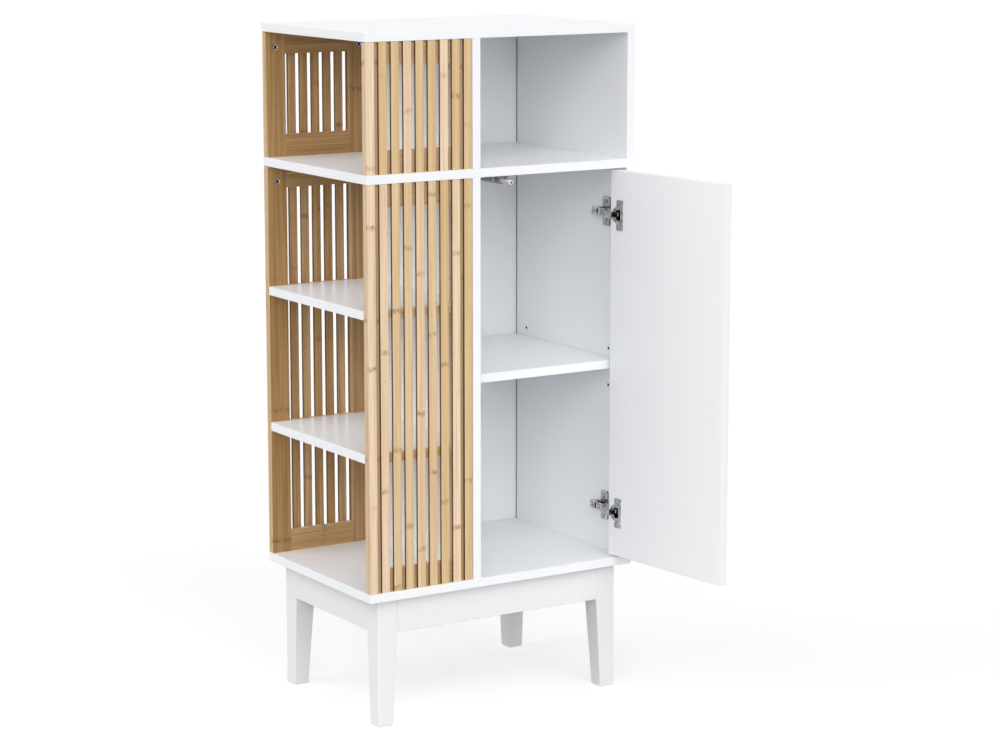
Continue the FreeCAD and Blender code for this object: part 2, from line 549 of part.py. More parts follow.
door_cuts = []
plate_screws = []
arm_screws = []
cup_screws = []
hinge_pins = []
for level, z in HINGES.items():
    arm = [
        rod("barrel_radius", "2 * barrel_half", ("0", "0", z + " - barrel_half"), "z", "eye"),
        box(("neck_side + neck_thick / 2", "hook_thick", "2 * hook_half"),
            ("-neck_side - neck_thick / 2", "-hook_thick / 2", z + " - hook_half"), "hook"),
        box(("neck_thick", "neck_long + neck_thick / 2", "2 * neck_half"),
            ("-neck_side - neck_thick / 2", "-neck_thick / 2", z + " - neck_half"), "neck"),
        box(("arm_thick", "arm_long", "2 * arm_half"), (ARM_FACE, "arm_start", z + " - arm_half"), "channel"),
    ]
    crank = box(("crank_long", "neck_thick", "2 * neck_half"),
                ("neck_thick / 2 - neck_side", "crank_start", z + " - neck_half"), "crank")
    bind(crank, "Placement.Rotation.Angle", "crank_angle * 1deg")
    arm.append(crank)
    eye = rod("hinge_pin_radius + fit", "2 * barrel_half + 2 * overrun",
              ("0", "0", z + " - barrel_half - overrun"), "z", "hole")
    arm_holes = [eye]
    plate_holes = []
    for y in ("arm_screw_near", "arm_screw_far"):
        at = (ARM_FACE, y, z)
        shank = "arm_thick + arm_screw_in"
        arm_holes.append(rod("small_screw_radius + fit", shank + " + end_room", at, "x", "hole"))
        plate_holes.append(rod("small_screw_radius + fit", shank + " + end_room", at, "x", "hole"))
        arm_screws.append(fuse([
            rod("small_screw_radius", shank, at, "x", "shank"),
            rod("small_screw_head", "small_screw_tall", (ARM_FACE + " - small_screw_tall", y, z),
                "x", "head"),
        ]))
    node(on_axis(cut(fuse(arm), arm_holes), False), "hinge_arm_" + level)
    plate = [
        box(("plate_thick", "plate_long", "2 * plate_half"),
            (WALL + " - plate_thick", "plate_start", z + " - plate_half"), "middle"),
        box(("wing_thick", "wing_wide", "2 * wing_half"),
            (WALL + " - wing_thick", "wing_start", z + " - wing_half"), "wings"),
    ]
    screw_y = "wing_start + wing_wide / 2"
    for sign in (-1, 1):
        screw_z = z + (" - plate_screw_out" if sign < 0 else " + plate_screw_out")
        at = (WALL + " - wing_thick", screw_y, screw_z)
        shank = "wing_thick + screw_in"
        plate_holes.append(rod("screw_radius + fit", shank + " + end_room", at, "x", "hole"))
        drill("right_side_panel", "screw_radius + fit", shank + " + end_room",
              (AXIS_X + " + " + at[0], AXIS_Y + " + " + at[1], at[2]), "x")
        plate_screws.append(fuse([
            rod("screw_radius", shank, at, "x", "shank"),
            rod("screw_head", "screw_head_tall",
                (WALL + " - wing_thick - screw_head_tall", screw_y, screw_z), "x", "head"),
        ]))
    node(on_axis(cut(fuse(plate), plate_holes), False), "hinge_plate_" + level)
    shell = [
        rod("cup_radius", CUP_ALL, (CUP_X, CUP_Y, z), "y", "cup"),
        rod("cup_radius + flange_lip", "flange_thick", (CUP_X, "axis_depth", z), "y", "rim"),
        box(("flange_far - flange_near", "flange_thick", "2 * flange_half"),
            ("axis_back - flange_far", "axis_depth", z + " - flange_half"), "wings"),
    ]
    hollow = rod("cup_radius - cup_wall", CUP_ALL + " + overrun", (CUP_X, CUP_Y + " + cup_floor", z),
                 "y", "hollow")
    pressed = cut(fuse(shell), [hollow], "pressed")
    ears = fuse([
        box(("2 * ear_half", "cup_deep - axis_depth + ear_half", "ear_long"),
            ("-ear_half", CUP_Y, z + " + ear_gap"), "ear"),
        box(("2 * ear_half", "cup_deep - axis_depth + ear_half", "ear_long"),
            ("-ear_half", CUP_Y, z + " - ear_gap - ear_long"), "ear"),
    ])
    kept = fresh("Part::MultiCommon", "kept")
    kept.Shapes = [ears, rod("cup_radius", CUP_ALL, (CUP_X, CUP_Y, z), "y", "limit")]
    pin_hole = rod("hinge_pin_radius + fit", "2 * hinge_pin_half + end_room",
                   ("0", "0", z + " - hinge_pin_half - end_room / 2"), "z", "hole")
    screw_x = "axis_back - cup_screw_back"
    cup_holes = [pin_hole]
    screw_start = "axis_depth - small_screw_in"
    shank = "small_screw_in + flange_thick"
    for sign in (" - ", " + "):
        at = (screw_x, screw_start, z + sign + "cup_screw_out")
        hole_at = (screw_x, screw_start + " - end_room", at[2])
        for bin_of in (cup_holes, door_cuts):
            bin_of.append(rod("small_screw_radius + fit", shank + " + 2 * end_room", hole_at, "y", "hole"))
        cup_screws.append(fuse([
            rod("small_screw_radius", shank, at, "y", "shank"),
            rod("small_screw_head", "small_screw_tall", (screw_x, "axis_depth + flange_thick", at[2]),
                "y", "head"),
        ]))
    node(on_axis(cut(fuse([pressed, kept]), cup_holes), True), "hinge_cup_" + level)
    hinge_pins.append(
        rod("hinge_pin_radius", "2 * hinge_pin_half", ("0", "0", z + " - hinge_pin_half"), "z", "pin"))
    door_cuts.append(rod("cup_radius + fit", "cup_deep + overrun", (CUP_X, CUP_Y, z), "y", "cup_hole"))
door_wide = "width - bay_width - 2 * board - hinge_gap - free_gap"
leaf = box((door_wide, "board", DOOR_TALL),
           ("axis_back - (" + door_wide + ")", "axis_depth - board", "bottom_top + door_gap"), "leaf")
node(on_axis(cut(leaf, door_cuts), True), "door_panel")
node(on_axis(group(cup_screws), True), "cup_screws")
node(on_axis(group(hinge_pins), True), "hinge_pins")
node(on_axis(group(plate_screws), False), "plate_screws")
node(on_axis(group(arm_screws), False), "arm_screws")

# boards, each with the holes and grooves collected above
BAY_FRONT = FRONT + " + panel_inset + slat_thick + frame_thick"
BAY_DEEP = "depth - 2 * (panel_inset + slat_thick + frame_thick)"
boards = {
    "top_panel": (("width", "depth", "board"), (LEFT, FRONT, TOP_UNDER)),
    "middle_panel": (("width - board", "depth", "board"), (LEFT, FRONT, MID_UNDER)),
    "bottom_panel": (("width - board", "depth", "board"), (LEFT, FRONT, BOT_UNDER)),
    "right_side_panel": (("board", "depth", TOP_UNDER + " - " + BOT_UNDER), (SIDE_IN, FRONT, BOT_UNDER)),
    "upper_divider": (("board", "depth", TOP_UNDER + " - middle_top"), (DIV_LEFT, FRONT, "middle_top")),
    "lower_divider": (("board", "depth", MID_UNDER + " - bottom_top"), (DIV_LEFT, FRONT, "bottom_top")),
    "bay_shelf_upper": (("bay_width", BAY_DEEP, "board"), (LEFT, BAY_FRONT, "bay_shelf_high - board")),
    "bay_shelf_lower": (("bay_width", BAY_DEEP, "board"), (LEFT, BAY_FRONT, "bay_shelf_low - board")),
}
boards.update(aprons)
for label, (size, at) in boards.items():
    node(cut(box(size, at, "board"), cuts.get(label, [])), label)
SHELF_DEEP = "depth - shelf_setback - groove_inset - groove_wide - shelf_play"
node(
    box((SIDE_IN + " - " + DIV_RIGHT + " - 2 * shelf_play", SHELF_DEEP, "board"),
        (DIV_RIGHT + " + shelf_play", FRONT + " + shelf_setback", "shelf_under"), "board"),
    "cupboard_shelf",
)
BACK_WIDE = SIDE_IN + " - " + DIV_RIGHT + " + 2 * groove_deep - 2 * back_play"
for label, low, high in (
    ("upper_back_panel", "middle_top", TOP_UNDER),
    ("lower_back_panel", "bottom_top", MID_UNDER),
):
    tall = high + " - " + low + " + 2 * groove_deep - back_play"
    at = (GROOVE_X + " + back_play", REAR + " - groove_inset - back_thick", low + " - groove_deep")
    node(box((BACK_WIDE, "back_thick", tall), at, "back"), label)

# legs: a square block between the aprons, tapered on the two inner faces below them
for leg, (sx, sy, along_x, along_y) in legs.items():
    corner = (signed(sx, "width / 2 - leg_side"), signed(sy, "depth / 2 - leg_front"))
    taper = fresh("Part::Wedge", "taper")
    taper.Placement = FreeCAD.Placement(FreeCAD.Vector(), FreeCAD.Rotation(FreeCAD.Vector(1, 0, 0), 90))
    place(taper, (corner[0], corner[1], "0"))
    bind(taper, "Ymin", "0")
    bind(taper, "Ymax", APRON_Z)
    for prop, size in (("X", "leg_foot"), ("X2", "leg_top")):
        bind(taper, prop + "min", "0" if sx < 0 else "-" + size)
        bind(taper, prop + "max", size if sx < 0 else "0")
    for prop, size in (("Z", "leg_foot"), ("Z2", "leg_top")):
        bind(taper, prop + "min", "-" + size if sy < 0 else "0")
        bind(taper, prop + "max", "0" if sy < 0 else size)
    block_x = corner[0] + ("" if sx < 0 else " - leg_top")
    block_y = corner[1] + ("" if sy < 0 else " - leg_top")
    block_at = (block_x, block_y, APRON_Z)
    block = box(("leg_top", "leg_top", "apron_tall"), block_at, "block")
    node(cut(fuse([taper, block]), cuts.get(leg, [])), leg)

node(group(shelf_pins), "shelf_pins")
node(group(carcass_dowels), "carcass_dowels")
node(group(apron_dowels), "apron_dowels")
node(group(brackets), "base_brackets")
node(group(bracket_screws), "bracket_screws")

doc.recompute()
for obj in doc.Objects:
    if "Invalid" in obj.State or "Error" in obj.State:
        raise RuntimeError("does not recompute: " + obj.Label)
os.makedirs("parts", exist_ok=True)
for obj in nodes:
    if obj.Shape.isNull() or not obj.Shape.isValid() or not obj.Shape.Solids:
        raise RuntimeError("not a valid solid: " + obj.Label)
    obj.Shape.exportStep("parts/%s.step" % obj.Label)
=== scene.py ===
import json
import math
import random

import bmesh
import bpy
from mathutils import Matrix, Vector


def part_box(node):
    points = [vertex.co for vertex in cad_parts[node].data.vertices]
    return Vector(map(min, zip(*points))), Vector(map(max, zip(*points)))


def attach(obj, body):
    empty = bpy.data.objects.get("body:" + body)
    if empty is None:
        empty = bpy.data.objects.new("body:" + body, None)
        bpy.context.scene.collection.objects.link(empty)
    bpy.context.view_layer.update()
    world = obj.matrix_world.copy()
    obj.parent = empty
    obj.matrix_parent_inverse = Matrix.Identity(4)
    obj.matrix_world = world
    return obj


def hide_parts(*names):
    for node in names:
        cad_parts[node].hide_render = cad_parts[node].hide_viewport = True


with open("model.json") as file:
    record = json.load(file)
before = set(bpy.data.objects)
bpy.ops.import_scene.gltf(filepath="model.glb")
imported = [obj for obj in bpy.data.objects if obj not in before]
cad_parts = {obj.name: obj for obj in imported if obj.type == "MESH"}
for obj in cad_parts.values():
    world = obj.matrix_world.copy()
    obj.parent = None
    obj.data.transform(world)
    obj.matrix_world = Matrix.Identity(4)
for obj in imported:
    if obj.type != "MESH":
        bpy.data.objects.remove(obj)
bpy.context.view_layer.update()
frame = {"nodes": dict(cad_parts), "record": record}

# Bathroom cabinet: the looks. Metres, in the frame of the solids: X right, Y back, Z up.

MM = 0.001
WELD = 1e-6
NEAR = 0.1 * MM
SAME = 0.01 * MM
FLAT_ANGLE = math.radians(1)
CORNER_ANGLE = math.radians(50)
CREASE_ANGLE = math.radians(48)
# how far a face looks along an axis: 1 is straight along it and 0 is edge on
EDGE_ON = 0.1
ROUGHLY = 0.6
MOSTLY = 0.9
NEARLY = 0.99
EXACTLY = 0.999

BEHAVIOUR = frame["record"]["behaviour"]
BODY_OF = {node: body for body, nodes in BEHAVIOUR["bodies"].items() for node in nodes}
SWING = next(joint for joint in BEHAVIOUR["joints"] if joint["name"] == "door_swing")


def add(name, data):
    obj = bpy.data.objects.new(name, data)
    bpy.context.scene.collection.objects.link(obj)
    return obj


# Camera, at the viewing angle of the photo

PHOTO_WIDTH = 1000
SENSOR = 36.0
FOCAL_PIXELS = 2822.7
CAMERA_AT = (-2.4816, -4.0785, 1.4129)
CAMERA_DOWN = math.radians(10.266)
CAMERA_TURN = math.radians(32.372)
CAMERA_FAR = 100


def set_camera():
    data = bpy.data.cameras.new("camera")
    data.sensor_width = SENSOR
    data.lens = FOCAL_PIXELS * SENSOR / PHOTO_WIDTH
    data.clip_end = CAMERA_FAR
    camera = add("camera", data)
    camera.location = CAMERA_AT
    camera.rotation_euler = (math.pi / 2 - CAMERA_DOWN, 0, -CAMERA_TURN)
    bpy.context.scene.camera = camera


# Node helpers: put() adds one shader node, and gives its first output unless told otherwise

# places of the colour sockets on a mix node
MIX_SHARE = 0
MIX_FIRST = 6
MIX_SECOND = 7
MIX_RESULT = 2
# most values of a noise lie between these
MOST = (0.3, 0.7)
WHITE = (1, 1, 1, 1)


def put(tree, kind, ins=(), out=0, **props):
    item = tree.nodes.new("ShaderNode" + kind)
    for key, value in props.items():
        setattr(item, key, value)
    for key, value in dict(ins).items():
        if isinstance(value, bpy.types.NodeSocket):
            tree.links.new(value, item.inputs[key])
        else:
            item.inputs[key].default_value = value
    return item.outputs[out]


def calc(tree, operation, *values):
    return put(tree, "Math", dict(enumerate(values)), operation=operation)


def times(tree, first, second):
    return calc(tree, "MULTIPLY", first, second)


def raised(tree, base, value, weight):
    return calc(tree, "MULTIPLY_ADD", value, weight, base)


def noise(tree, vector, scale, detail=2.0, roughness=0.5):
    ins = {"Vector": vector, "Scale": scale, "Detail": detail, "Roughness": roughness}
    return put(tree, "TexNoise", ins)


def stretch(tree, vector, factors):
    return put(tree, "VectorMath", {0: vector, 1: factors}, operation="MULTIPLY")


def streaks(tree, vector, factors, detail=2.0, roughness=0.5):
    # a noise with a scale of its own on each axis
    return noise(tree, stretch(tree, vector, factors), 1.0, detail, roughness)


def spread(tree, value, span, to=(0.0, 1.0)):
    ins = {"Value": value, "From Min": span[0], "From Max": span[1], "To Min": to[0], "To Max": to[1]}
    return put(tree, "MapRange", ins, interpolation_type="SMOOTHSTEP")


def mixed(tree, share, first, second, mode="MIX"):
    ins = {MIX_SHARE: share, MIX_FIRST: first, MIX_SECOND: second}
    return put(tree, "Mix", ins, out=MIX_RESULT, data_type="RGBA", blend_type=mode)


def tinted(tree, base, where, strength, colour):
    return mixed(tree, times(tree, where, strength), base, colour)


def bump(tree, height, strength, distance):
    return put(tree, "Bump", {"Height": height, "Strength": strength, "Distance": distance})


def attribute(tree, name, out="Fac"):
    return put(tree, "Attribute", out=out, attribute_name=name)


def place_of(tree):
    return put(tree, "TexCoord", out="Object")


def empty_tree(owner):
    owner.use_nodes = True
    owner.node_tree.nodes.clear()
    return owner.node_tree


def show(tree, kind, socket):
    output = tree.nodes.new("ShaderNodeOutput" + kind)
    tree.links.new(socket, output.inputs[0])


def start(name):
    material = bpy.data.materials.new(name)
    tree = empty_tree(material)
    shader = tree.nodes.new("ShaderNodeBsdfPrincipled")
    show(tree, "Material", shader.outputs[0])
    return material, tree, shader


def wire(tree, shader, base, gloss, normal):
    for name, socket in (("Base Color", base), ("Roughness", gloss), ("Normal", normal)):
        tree.links.new(socket, shader.inputs[name])


# White finishes

BOARD_WHITES = ((0.938, 0.951, 0.975, 1), (0.946, 0.957, 0.979, 1))
BOARD_RIM = (0.952, 0.959, 0.974, 1)
# painted shade colour for the seam line and the pin holes
PAINTED_SHADE_BLACK = (0.02, 0.02, 0.021, 1)
WOOD_WHITES = ((0.866, 0.869, 0.88, 1), (0.89, 0.892, 0.9, 1))
WOOD_RIM = (0.9, 0.9, 0.902, 1)
BOARD_IOR = 1.46


def white_board():
    material, tree, shader = start("white_board")
    at = place_of(tree)
    cloud = noise(tree, at, scale=2.5)
    peel = noise(tree, at, scale=700.0)
    edge = attribute(tree, "edge")
    painted_shade = attribute(tree, "painted_shade")
    base = mixed(tree, cloud, *BOARD_WHITES)
    base = tinted(tree, base, edge, 0.5, BOARD_RIM)
    # painted shade: the line at the back's groove and the insides of the pin holes are painted near black
    base = mixed(tree, painted_shade, base, PAINTED_SHADE_BLACK)
    gloss = spread(tree, cloud, MOST, to=(0.27, 0.29))
    for value, weight in ((peel, 0.04), (edge, 0.08), (painted_shade, 0.5)):
        gloss = raised(tree, gloss, value, weight)
    wire(tree, shader, base, gloss, bump(tree, peel, strength=0.08, distance=0.02 * MM))
    shader.inputs["IOR"].default_value = BOARD_IOR
    return material


def white_wood():
    material, tree, shader = start("white_wood")
    at = place_of(tree)
    grain = streaks(tree, at, (420.0, 420.0, 14.0), detail=3.0)
    cloud = noise(tree, at, scale=14.0, detail=3.0)
    sheen = noise(tree, at, scale=60.0, detail=3.0)
    brush = noise(tree, at, scale=1100.0)
    base = mixed(tree, cloud, *WOOD_WHITES)
    base = tinted(tree, base, attribute(tree, "edge"), 0.4, WOOD_RIM)
    gloss = spread(tree, sheen, MOST, to=(0.34, 0.46))
    height = raised(tree, grain, brush, 0.35)
    wire(tree, shader, base, gloss, bump(tree, height, strength=0.16, distance=0.08 * MM))
    return material


# Bamboo. The grain attribute runs along each strip, and the tone attribute is one value a strip.

STREAK_PALE = (0.86, 0.67, 0.45, 1)
STREAK_DEEP = (0.745, 0.525, 0.31, 1)
TONE_PALE = (1.09, 1.135, 1.26, 1)
TONE_WARM = (0.87, 0.805, 0.64, 1)
FIBRE_BROWN = (0.54, 0.35, 0.17, 1)
HAIR_CREAM = (0.88, 0.74, 0.55, 1)
KNUCKLE_BROWN = (0.54, 0.34, 0.16, 1)
SPECK_BROWN = (0.2, 0.1, 0.035, 1)
DOT_BROWN = (0.22, 0.11, 0.045, 1)
# painted shade colour for the sides in the gaps between the slats
GAP_SHADE_BROWN = (0.11, 0.04, 0.003, 1)
# painted shade colours for the faces turned to the bay
INNER_SHADE_PALE = (0.645, 0.54, 0.38, 1)
INNER_SHADE_DEEP = (0.45, 0.35, 0.21, 1)
KNUCKLE_STEP = 0.23
KNUCKLE_REACH = 0.007
KNUCKLE_SHIFT = 7.31
KNUCKLE_WAVE = 0.05
DOT_EDGE = (0.055, 0.03)
DOT_RARE = 0.8
COAT = 0.1
COAT_GLOSS = 0.32


def wood_colour(tree, grain, fibre, hair):
    # streaks in the strip's own tone, with brown fibres and pale hairs over them
    broad = streaks(tree, grain, (130.0, 130.0, 2.2), detail=3.0)
    base = mixed(tree, spread(tree, broad, MOST), STREAK_PALE, STREAK_DEEP)
    tone = spread(tree, attribute(tree, "tone"), (-1.0, 1.0))
    base = mixed(tree, 1.0, base, mixed(tree, tone, TONE_PALE, TONE_WARM), "MULTIPLY")
    base = mixed(tree, spread(tree, fibre, (0.45, 0.7), to=(0.0, 0.55)), base, FIBRE_BROWN)
    return mixed(tree, spread(tree, hair, (0.55, 0.8), to=(0.0, 0.3)), base, HAIR_CREAM)


def knuckles(tree, grain):
    # bands across part of the strip, faint on some and clear on others
    along = put(tree, "SeparateXYZ", {0: grain}, out="Z")
    turn = calc(tree, "DIVIDE", along, KNUCKLE_STEP)
    turn = raised(tree, turn, attribute(tree, "tone"), KNUCKLE_SHIFT)
    turn = raised(tree, turn, streaks(tree, grain, (120.0, 120.0, 25.0)), KNUCKLE_WAVE)
    off = calc(tree, "ABSOLUTE", calc(tree, "SUBTRACT", calc(tree, "FRACT", turn), 0.5))
    band = spread(tree, off, (KNUCKLE_REACH / KNUCKLE_STEP, 0.0))
    clear = put(tree, "TexWhiteNoise", {"W": calc(tree, "FLOOR", turn)}, noise_dimensions="1D")
    patch = streaks(tree, grain, (110.0, 110.0, 50.0))
    shown = times(tree, spread(tree, clear, (0.0, 0.6)), spread(tree, patch, (0.3, 0.5)))
    return times(tree, band, shown)


def stray_dots(tree, grain):
    # pin-sized dots in a few of the cells
    cells = {"Vector": stretch(tree, grain, (62.0, 62.0, 21.0)), "Scale": 1.0}
    away = put(tree, "TexVoronoi", cells)
    draw = put(tree, "SeparateColor", {"Color": put(tree, "TexVoronoi", cells, out="Color")})
    return times(tree, spread(tree, away, DOT_EDGE), calc(tree, "GREATER_THAN", draw, DOT_RARE))


def bamboo():
    material, tree, shader = start("bamboo")
    grain = attribute(tree, "grain", "Vector")
    side = attribute(tree, "side")
    fibre = streaks(tree, grain, (1050.0, 1050.0, 9.0), detail=3.0, roughness=0.6)
    hair = streaks(tree, grain, (2600.0, 2600.0, 32.0))
    base = wood_colour(tree, grain, fibre, hair)

    # small brown dots lie in the knuckles, and a few stray ones between them
    band = knuckles(tree, grain)
    speck = streaks(tree, grain, (720.0, 720.0, 520.0))
    speck = times(tree, spread(tree, speck, (0.5, 0.57)), band)
    base = tinted(tree, base, band, 0.4, KNUCKLE_BROWN)
    base = tinted(tree, base, speck, 0.95, SPECK_BROWN)
    base = tinted(tree, base, stray_dots(tree, grain), 0.7, DOT_BROWN)

    # painted shade: the sides between the slats are painted a near black brown, as they lie in shade in the
    # narrow gaps
    shade_mottle = streaks(tree, grain, (300.0, 300.0, 75.0), detail=3.0)
    dark = times(tree, side, spread(tree, shade_mottle, MOST, to=(0.94, 1.0)))
    base = mixed(tree, dark, base, GAP_SHADE_BROWN)

    # painted shade: faces turned to the bay are painted a darker brown, as they lie in shade inside the bay
    streak = streaks(tree, grain, (420.0, 420.0, 4.0), detail=3.0)
    bay_shade = mixed(tree, spread(tree, streak, (0.35, 0.65)), INNER_SHADE_PALE, INNER_SHADE_DEEP)
    bay_shade = mixed(tree, attribute(tree, "inner"), WHITE, bay_shade)
    base = mixed(tree, 1.0, base, bay_shade, "MULTIPLY")

    gloss = raised(tree, spread(tree, fibre, MOST, to=(0.4, 0.55)), side, 0.45)
    height = raised(tree, raised(tree, fibre, hair, 0.4), band, 0.8)
    wire(tree, shader, base, gloss, bump(tree, height, strength=0.2, distance=0.07 * MM))
    shader.inputs["Coat Weight"].default_value = COAT
    shader.inputs["Coat Roughness"].default_value = COAT_GLOSS
    return material


# Metals, plastics and dowel wood

# painted highlight colour for eased metal edges
METAL_EDGE_HIGHLIGHT = (0.93, 0.925, 0.915, 1)
# painted shade colours for hollows, slots and gaps
METAL_SHADE = (0.012, 0.012, 0.013, 1)
PLASTIC_SHADE = (0.015, 0.015, 0.016, 1)
BEECH_DEEP = (0.62, 0.43, 0.26, 1)
BEECH_PALE = (0.74, 0.56, 0.37, 1)
BEECH_FLECK = (0.4, 0.24, 0.12, 1)
# light and dark colour, lowest and highest roughness, scale and depth of the grit
METALS = {
    "nickel_steel": ((0.8, 0.795, 0.785, 1), (0.42, 0.415, 0.405, 1), (0.14, 0.3), 1600.0, 0.02 * MM),
    "screw_steel": ((0.84, 0.84, 0.84, 1), (0.66, 0.66, 0.66, 1), (0.2, 0.4), 2200.0, 0.03 * MM),
    "zinc": ((0.82, 0.815, 0.8, 1), (0.64, 0.635, 0.62, 1), (0.3, 0.5), 2800.0, 0.05 * MM),
}
# light and dark colour, lowest and highest roughness
PLASTICS = {
    "grey_plastic": ((0.3, 0.305, 0.31, 1), (0.24, 0.243, 0.25, 1), (0.35, 0.5)),
    "pale_plastic": ((0.66, 0.665, 0.67, 1), (0.58, 0.585, 0.59, 1), (0.3, 0.45)),
    "tip_rubber": ((0.8, 0.8, 0.8, 1), (0.7, 0.7, 0.7, 1), (0.35, 0.5)),
}


def metal(name, light, dark, rough, grit_scale, grit_deep):
    material, tree, shader = start(name)
    at = place_of(tree)
    cloud = noise(tree, at, scale=130.0, detail=3.0)
    grit = noise(tree, at, scale=grit_scale, detail=3.0)
    scratch = streaks(tree, at, (500.0, 500.0, 4200.0))
    base = mixed(tree, spread(tree, cloud, MOST), dark, light)
    # painted highlight: the eased edges are painted brighter
    base = tinted(tree, base, attribute(tree, "edge"), 0.5, METAL_EDGE_HIGHLIGHT)
    # painted shade in hollows, slots and the gaps around heads
    base = tinted(tree, base, attribute(tree, "recess_shade"), 0.97, METAL_SHADE)
    gloss = spread(tree, raised(tree, grit, scratch, 0.5), (0.5, 1.0), to=rough)
    wire(tree, shader, base, gloss, bump(tree, grit, strength=0.2, distance=grit_deep))
    shader.inputs["Metallic"].default_value = 1.0
    return material


def plastic(name, light, dark, rough):
    material, tree, shader = start(name)
    at = place_of(tree)
    cloud = noise(tree, at, scale=120.0, detail=3.0)
    grain = noise(tree, at, scale=3200.0)
    base = mixed(tree, spread(tree, cloud, MOST), dark, light)
    # painted shade in hollows
    base = tinted(tree, base, attribute(tree, "recess_shade"), 0.95, PLASTIC_SHADE)
    gloss = spread(tree, grain, MOST, to=rough)
    wire(tree, shader, base, gloss, bump(tree, grain, strength=0.15, distance=0.03 * MM))
    return material


def beech():
    material, tree, shader = start("beech")
    at = place_of(tree)
    grain = noise(tree, at, scale=500.0, detail=3.0)
    fleck = noise(tree, at, scale=1400.0)
    base = mixed(tree, spread(tree, grain, MOST), BEECH_DEEP, BEECH_PALE)
    base = mixed(tree, spread(tree, fleck, (0.58, 0.7), to=(0.0, 0.5)), base, BEECH_FLECK)
    gloss = spread(tree, grain, MOST, to=(0.55, 0.7))
    wire(tree, shader, base, gloss, bump(tree, grain, strength=0.3, distance=0.1 * MM))
    return material


def make_looks():
    looks = {"white_board": white_board(), "white_wood": white_wood(), "bamboo": bamboo(), "beech": beech()}
    for name, values in METALS.items():
        looks[name] = metal(name, *values)
    for name, values in PLASTICS.items():
        looks[name] = plastic(name, *values)
    return looks


LOOKS = make_looks()


# Mesh helpers. An ease is a radius, the shortest edge that gets it, and the steps across the round.

NORMAL_WEIGHT = 100
GRAIN_SHIFT = 9


def solid_of(node):
    bm = bmesh.new()
    bm.from_mesh(frame["nodes"][node].data)
    bmesh.ops.remove_doubles(bm, verts=bm.verts, dist=WELD)
    bmesh.ops.dissolve_limit(bm, angle_limit=FLAT_ANGLE, verts=bm.verts, edges=bm.edges)
    return bm


def slot_of(node):
    return frame["nodes"][node].material_slots[0].material.name.split(".")[0]


def is_corner(edge):
    return edge.is_manifold and edge.is_convex and edge.calc_face_angle() > CORNER_ANGLE


def rounded(bm, edges, radius, steps):
    result = bmesh.ops.bevel(bm, geom=edges, offset=radius, offset_type="OFFSET", segments=steps,
                             profile=0.5, affect="EDGES", clamp_overlap=True)
    return result["faces"]


def soften(bm, ease):
    radius, shortest, steps = ease
    layer = bm.faces.layers.float.new("edge")
    sharp = [e for e in bm.edges if is_corner(e) and e.calc_length() > shortest]
    for face in rounded(bm, sharp, radius, steps):
        face[layer] = 1.0
    return bm


def cut(bm, faces, at, normal):
    # cuts these faces, and no others, along a plane
    edges = dict.fromkeys(e for f in faces for e in f.edges)
    verts = dict.fromkeys(v for f in faces for v in f.verts)
    geom = [*faces, *edges, *verts]
    bmesh.ops.bisect_plane(bm, geom=geom, plane_co=at, plane_no=normal, dist=WELD)


def block(bm, low, high):
    low, high = Vector(low), Vector(high)
    for v in bmesh.ops.create_cube(bm, size=1.0)["verts"]:
        v.co = Vector([(low[i] + high[i]) / 2 + v.co[i] * (high[i] - low[i]) for i in range(3)])


def islands(bm):
    # the vertices of each separate body in a mesh
    bm.verts.index_update()
    seen = set()
    found = []
    for first in bm.verts:
        if first.index in seen:
            continue
        seen.add(first.index)
        group, queue = [], [first]
        while queue:
            v = queue.pop()
            group.append(v)
            for e in v.link_edges:
                other = e.other_vert(v)
                if other.index not in seen:
                    seen.add(other.index)
                    queue.append(other)
        found.append(group)
    return found


def lay_grain(bm, node, along, palest):
    # gives each strip its own place in the grain, and a tone of its own
    vectors = bm.verts.layers.float_vector.new("grain")
    tones = bm.verts.layers.float.new("tone")
    dice = random.Random(node)
    for strip in islands(bm):
        shift = Vector([dice.uniform(0, GRAIN_SHIFT) for _ in range(3)])
        tone = dice.uniform(palest, 1)
        for v in strip:
            at = v.co if along == "z" else Vector((v.co.z, v.co.y, v.co.x))
            v[vectors] = at + shift
            v[tones] = tone


def piece(bm, *nodes):
    # turns a mesh into the piece that stands for these nodes, with the look of the first one's slot
    name = nodes[0] + "_shape"
    look = slot_of(nodes[0])
    mesh = bpy.data.meshes.new(name)
    bm.normal_update()
    for f in bm.faces:
        f.smooth = True
    for e in bm.edges:
        e.smooth = not (e.is_manifold and e.calc_face_angle(0) > CREASE_ANGLE)
    bm.to_mesh(mesh)
    bm.free()
    mesh.materials.append(LOOKS[look])
    obj = add(name, mesh)
    weighted = obj.modifiers.new("normals", "WEIGHTED_NORMAL")
    weighted.keep_sharp = True
    weighted.weight = NORMAL_WEIGHT
    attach(obj, BODY_OF[nodes[0]])
    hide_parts(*nodes)


# White boards: the solids with their outer edges eased

BOARD_EASE = (0.7 * MM, 12 * MM, 3)
BACK_EASE = (0.3 * MM, 50 * MM, 2)
SIDE_FACE = 245 * MM
SEAM_WIDE = 1.0 * MM
SEAM_SHADE = 0.72
HOLE_CLEAR = 1 * MM
HOLE_INSET = 6 * MM
HOLE_FACE = 40 * MM * MM
DRILLED = ("right_side_panel", "lower_divider")
BOARDS = ("top_panel", "middle_panel", "bottom_panel", "right_side_panel", "upper_divider", "lower_divider",
          "bay_shelf_upper", "bay_shelf_lower", "cupboard_shelf", "door_panel")
BACKS = ("upper_back_panel", "lower_back_panel")


